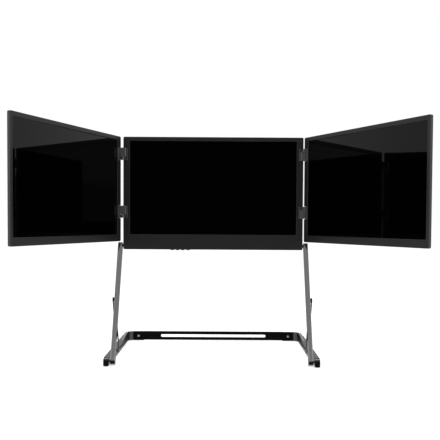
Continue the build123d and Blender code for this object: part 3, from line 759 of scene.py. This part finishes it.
# %% End of a fastener tree
def set_on_points(tree, given, fastener):
    """Copy the fastener to each point, facing outwards and spun about its own axis."""
    facing = add_node(
        tree, "GeometryNodeInputNamedAttribute", {"Name": "facing"}, data_type="FLOAT_VECTOR"
    )
    outward = add_node(
        tree,
        "FunctionNodeAlignRotationToVector",
        {"Vector": facing.outputs["Attribute"]},
        axis="Z",
    )
    angle = add_node(
        tree, "FunctionNodeRandomValue", {3: 2 * pi, "Seed": given["Seed"]}, data_type="FLOAT"
    )
    spin = add_node(tree, "ShaderNodeCombineXYZ", {"Z": angle.outputs[1]})
    by = add_node(tree, "FunctionNodeEulerToRotation", {"Euler": spin.outputs["Vector"]})
    turned = add_node(
        tree,
        "FunctionNodeRotateRotation",
        {"Rotation": outward.outputs["Rotation"], "Rotate By": by.outputs["Rotation"]},
        rotation_space="LOCAL",
    )
    copies = add_node(
        tree,
        "GeometryNodeInstanceOnPoints",
        {
            "Points": given["Points"],
            "Instance": fastener,
            "Rotation": turned.outputs["Rotation"],
        },
    )
    real = add_node(
        tree, "GeometryNodeRealizeInstances", {"Geometry": copies.outputs["Instances"]}
    )
    finished = add_node(
        tree,
        "GeometryNodeSetMaterial",
        {"Geometry": real.outputs["Geometry"], "Material": given["Finish"]},
    )
    add_node(tree, "NodeGroupOutput", {"Geometry": finished.outputs["Geometry"]})


# %% [markdown]
# In between come plain parts, a few of them cut out of another. Each part is made around
# the origin and moved down, so that the face of the head ends up at the origin, where
# the point is. Under every head is a shank, so the two kinds share that as well. It has
# no thread: the real one is hidden in its hole.


# %% Shank under a head
def shifted_down(tree, part, distance):
    """The part moved down its own axis by a distance, which is an output of the tree."""
    down = add_node(tree, "ShaderNodeMath", {0: distance, 1: -1.0}, operation="MULTIPLY")
    place = add_node(tree, "ShaderNodeCombineXYZ", {"Z": down.outputs["Value"]})
    moved = add_node(
        tree,
        "GeometryNodeTransform",
        {"Geometry": part, "Translation": place.outputs["Vector"]},
    )
    return moved.outputs["Geometry"]


def with_shank(tree, given, head, sides):
    """The head with its shank below it."""
    half_shank = add_node(
        tree, "ShaderNodeMath", {0: given["Shank Length"], 1: 0.5}, operation="MULTIPLY"
    )
    under_head = add_node(
        tree,
        "ShaderNodeMath",
        {0: given["Head Height"], 1: half_shank.outputs["Value"]},
        operation="ADD",
    )
    shank = add_node(
        tree,
        "GeometryNodeMeshCylinder",
        {"Vertices": sides, "Radius": given["Shank Radius"], "Depth": given["Shank Length"]},
    )
    shank = shifted_down(tree, shank.outputs["Mesh"], under_head.outputs["Value"])
    whole = add_node(tree, "GeometryNodeJoinGeometry", {"Geometry": [head, shank]})
    return whole.outputs["Geometry"]


# %% [markdown]
# **Cross-head screws** close the three cases. A flat-faced cheese head is a cylinder,
# and the recess is two crossed boxes cut out of it with Mesh Boolean.

# %% Cross-head screw tree
HEAD_SIDES, THIN_SHANK_SIDES = 32, 20
cross_head_screws, given = fastener_tree(
    "cross_head_screws", ("Recess Length", "Recess Width", "Recess Depth")
)
tree = cross_head_screws
head = add_node(
    tree,
    "GeometryNodeMeshCylinder",
    {"Vertices": HEAD_SIDES, "Radius": given["Head Radius"], "Depth": given["Head Height"]},
)
half_head = add_node(
    tree, "ShaderNodeMath", {0: given["Head Height"], 1: 0.5}, operation="MULTIPLY"
)
head = shifted_down(tree, head.outputs["Mesh"], half_head.outputs["Value"])
cut_depth = add_node(
    tree, "ShaderNodeMath", {0: given["Recess Depth"], 1: 2.0}, operation="MULTIPLY"
)
blade_size = add_node(
    tree,
    "ShaderNodeCombineXYZ",
    {"X": given["Recess Length"], "Y": given["Recess Width"], "Z": cut_depth.outputs["Value"]},
)
blade = add_node(tree, "GeometryNodeMeshCube", {"Size": blade_size.outputs["Vector"]})
crossed = add_node(
    tree,
    "GeometryNodeTransform",
    {"Geometry": blade.outputs["Mesh"], "Rotation": (0, 0, pi / 2)},
)
recessed = add_node(
    tree,
    "GeometryNodeMeshBoolean",
    {"Mesh 1": head, "Mesh 2": [blade.outputs["Mesh"], crossed.outputs["Geometry"]]},
    operation="DIFFERENCE",
    solver="EXACT",
)
screw = with_shank(tree, given, recessed.outputs["Mesh"], THIN_SHANK_SIDES)
set_on_points(tree, given, screw)
print("nodes in cross_head_screws:", len(tree.nodes))

# %% [markdown]
# **Domed heads** are on the bar screws, the strut screws and the rivets. A ball is
# squashed to the height of the dome. A block twice as wide as the head, whose top lies
# at the rim of the dome, is there to cut its lower half away. A lathed outline would
# give a dome as well, but the ball needs no curve and keeps its two sizes as inputs.

# %% Dome of the domed heads
DOME_RINGS = 16
domed_heads, given = fastener_tree("domed_heads", ("Socket Radius", "Socket Depth"))
tree = domed_heads
ball = add_node(
    tree,
    "GeometryNodeMeshUVSphere",
    {"Segments": HEAD_SIDES, "Rings": DOME_RINGS, "Radius": 1.0},
)
squash = add_node(
    tree,
    "ShaderNodeCombineXYZ",
    {"X": given["Head Radius"], "Y": given["Head Radius"], "Z": given["Head Height"]},
)
dome = add_node(
    tree,
    "GeometryNodeTransform",
    {"Geometry": ball.outputs["Mesh"], "Scale": squash.outputs["Vector"]},
)
dome = shifted_down(tree, dome.outputs["Geometry"], given["Head Height"])
block = add_node(
    tree, "ShaderNodeMath", {0: given["Head Radius"], 1: 4.0}, operation="MULTIPLY"
)
block_size = add_node(
    tree,
    "ShaderNodeCombineXYZ",
    {axis: block.outputs["Value"] for axis in "XYZ"},
)
lower_half = add_node(tree, "GeometryNodeMeshCube", {"Size": block_size.outputs["Vector"]})
below = add_node(
    tree,
    "ShaderNodeMath",
    {0: given["Head Radius"], 1: 2.0, 2: given["Head Height"]},
    operation="MULTIPLY_ADD",
)
lower_half = shifted_down(tree, lower_half.outputs["Mesh"], below.outputs["Value"])
print("nodes for the dome:", len(tree.nodes))

# %% [markdown]
# The hexagon socket is a six-sided cylinder. It is cut into the top together with the
# block below. A rivet gets a dimple a fifth as wide, as the setting tool leaves.

# %% Socket of the domed heads
SHANK_SIDES = 24
key_depth = add_node(
    tree, "ShaderNodeMath", {0: given["Socket Depth"], 1: 2.0}, operation="MULTIPLY"
)
hexagon_key = add_node(
    tree,
    "GeometryNodeMeshCylinder",
    {"Vertices": 6, "Radius": given["Socket Radius"], "Depth": key_depth.outputs["Value"]},
)
cut_dome = add_node(
    tree,
    "GeometryNodeMeshBoolean",
    {"Mesh 1": dome, "Mesh 2": [lower_half, hexagon_key.outputs["Mesh"]]},
    operation="DIFFERENCE",
    solver="EXACT",
)
fastener = with_shank(tree, given, cut_dome.outputs["Mesh"], SHANK_SIDES)
set_on_points(tree, given, fastener)
print("nodes in domed_heads:", len(tree.nodes))

# %% [markdown]
# The tree runs as a modifier on a mesh of bare points. Its inputs are set by their
# identifiers, then the evaluated result is copied into a plain mesh and the helper
# object is thrown away with its modifier.


# %% Run a tree and keep its faces
def identifiers(tree):
    """The identifier of each named input of a tree."""
    sockets = tree.interface.items_tree
    return {item.name: item.identifier for item in sockets if item.in_out == "INPUT"}


def baked(maker, name):
    """A plain copy of what an object's modifiers make; the object itself is removed."""
    bpy.context.view_layer.update()
    evaluated = maker.evaluated_get(bpy.context.evaluated_depsgraph_get())
    mesh = bpy.data.meshes.new_from_object(evaluated)
    mesh.name = name
    bpy.data.objects.remove(maker)
    piece = bpy.data.objects.new(name, mesh)
    scene.collection.objects.link(piece)
    return piece


def fasteners(node, tree, body, slot, finish, facing_at, head_mm, **sizes_mm):
    """One mesh of fasteners in place of the pins of a node."""
    spots = pin_spots(node, facing_at)
    points = bpy.data.meshes.new(node + "_points")
    points.from_pydata([place for place, _, _ in spots], [], [])
    facing = points.attributes.new("facing", "FLOAT_VECTOR", "POINT")
    facing.data.foreach_set("vector", [number for _, way, _ in spots for number in way])
    maker = bpy.data.objects.new(node + "_maker", points)
    scene.collection.objects.link(maker)
    modifier = maker.modifiers.new("fasteners", "NODES")
    modifier.node_group = tree
    socket = identifiers(tree)
    sizes = dict(sizes_mm, Head_Height=head_mm, Shank_Length=spots[0][2] / MM - head_mm)
    for size, length in sizes.items():
        modifier[socket[size.replace("_", " ")]] = length * MM
    modifier[socket["Seed"]] = len(node)
    modifier[socket["Finish"]] = finish
    piece = baked(maker, node + "_detailed")
    piece.data.shade_smooth()
    piece.data.set_sharp_from_angle(angle=EDGE_TURN)
    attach(piece, body)
    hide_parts(node)
    print(node, "has", len(spots), "fasteners and", len(piece.data.polygons), "faces")


# %% [markdown]
# The side screens stand turned at rest, so the backs of their cases, and the screws in
# them, face the way that the fold angle of each hinge gives.

# %% Case screws
def rest_fold(joint):
    """How far a side screen is turned at rest; it lies flat at its joint's lower limit."""
    return radians(-joint["range_deg"][0] * joint["axis"][2])


joints = {joint["name"]: joint for joint in frame["joints"]}
REST_FOLD = {
    "left_wing": rest_fold(joints["left_wing_fold"]),
    "right_wing": rest_fold(joints["right_wing_fold"]),
    "center_screen": 0.0,
}
CASE_SCREW = dict(
    Head_Radius=1.8, Recess_Length=2.2, Recess_Width=0.5, Recess_Depth=0.45, Shank_Radius=1.0
)
for body, fold in REST_FOLD.items():
    node = body.replace("_screen", "") + "_case_screws"
    backward = (-sin(fold), cos(fold), 0.0)
    fasteners(
        node, cross_head_screws, body, "dark_steel", black_oxide,
        lambda at, way=backward: way, 0.8, **CASE_SCREW,
    )

# %% [markdown]
# The heads of the bar screws face forwards, and the strut screws and the rivets face
# away from the middle of the base. All three use the tree for domed heads: their sizes
# alone make a button head, a low shoulder screw or a rivet of it.


# %% Screws and rivets of the base and the legs
def outwards(at):
    """Away from the middle of the base, to the left or to the right."""
    return (1.0 if at.x > 0 else -1.0, 0.0, 0.0)


fasteners(
    "bar_screws", domed_heads, "base", "steel", bright_zinc, lambda at: (0, -1, 0), 2.2,
    Head_Radius=3.0, Socket_Radius=1.35, Socket_Depth=1.3, Shank_Radius=2.0,
)
fasteners(
    "strut_screws", domed_heads, "legs", "steel", bright_zinc, outwards, 0.6,
    Head_Radius=4.2, Socket_Radius=1.3, Socket_Depth=0.4, Shank_Radius=2.5,
)
fasteners(
    "bracket_rivets", domed_heads, "base", "dark_steel", black_oxide, outwards, 0.7,
    Head_Radius=3.0, Socket_Radius=0.3, Socket_Depth=0.05, Shank_Radius=1.75,
)

# %% [markdown]
# ## Desk
#
# The floor is a very large pale sheet. It glows a little for the camera alone, so it
# merges with the white sweep while the soft contact shadows under the base stay. Glossy
# rays pass it, so the low black fronts mirror the dark room and not a white desk. A
# shadow catcher would keep the shadows too, but only in a picture that is put together
# afterwards.

# %% Floor
FLOOR_M, FLOOR_GLOW = 60.0, 0.60
bpy.ops.mesh.primitive_plane_add(size=FLOOR_M, location=(0, 0, 0))
floor = bpy.context.object
floor.name = "desk_top"
paper = bpy.data.materials.new("pale_seamless_paper")
paper.use_nodes = True
tree = paper.node_tree
tree.nodes.clear()
path = add_node(tree, "ShaderNodeLightPath")
matt = add_node(tree, "ShaderNodeBsdfDiffuse", {"Color": linear("F4F4F4")})
lift = add_node(
    tree,
    "ShaderNodeMath",
    {0: path.outputs["Is Camera Ray"], 1: FLOOR_GLOW},
    operation="MULTIPLY",
)
glow = add_node(
    tree,
    "ShaderNodeEmission",
    {"Color": linear("FFFFFF"), "Strength": lift.outputs["Value"]},
)
both = add_node(
    tree, "ShaderNodeAddShader", {0: matt.outputs["BSDF"], 1: glow.outputs["Emission"]}
)
add_node(tree, "ShaderNodeOutputMaterial", {"Surface": both.outputs["Shader"]})
floor.data.materials.append(paper)
floor.visible_glossy = False
floor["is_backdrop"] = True
print("the floor is", FLOOR_M, "m wide")

# %% [markdown]
# ## Sizes
#
# Rounded edges and detailed screws should add nothing to the size of the object. So the
# last cell prints the box around the bare solids and the box around the dressed scene.

# %% Print the sizes
dressed_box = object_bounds()
for name, corners in (("bare", cad_box), ("dressed", dressed_box)):
    print(name, "box:", [[round(value, 4) for value in corner] for corner in corners])
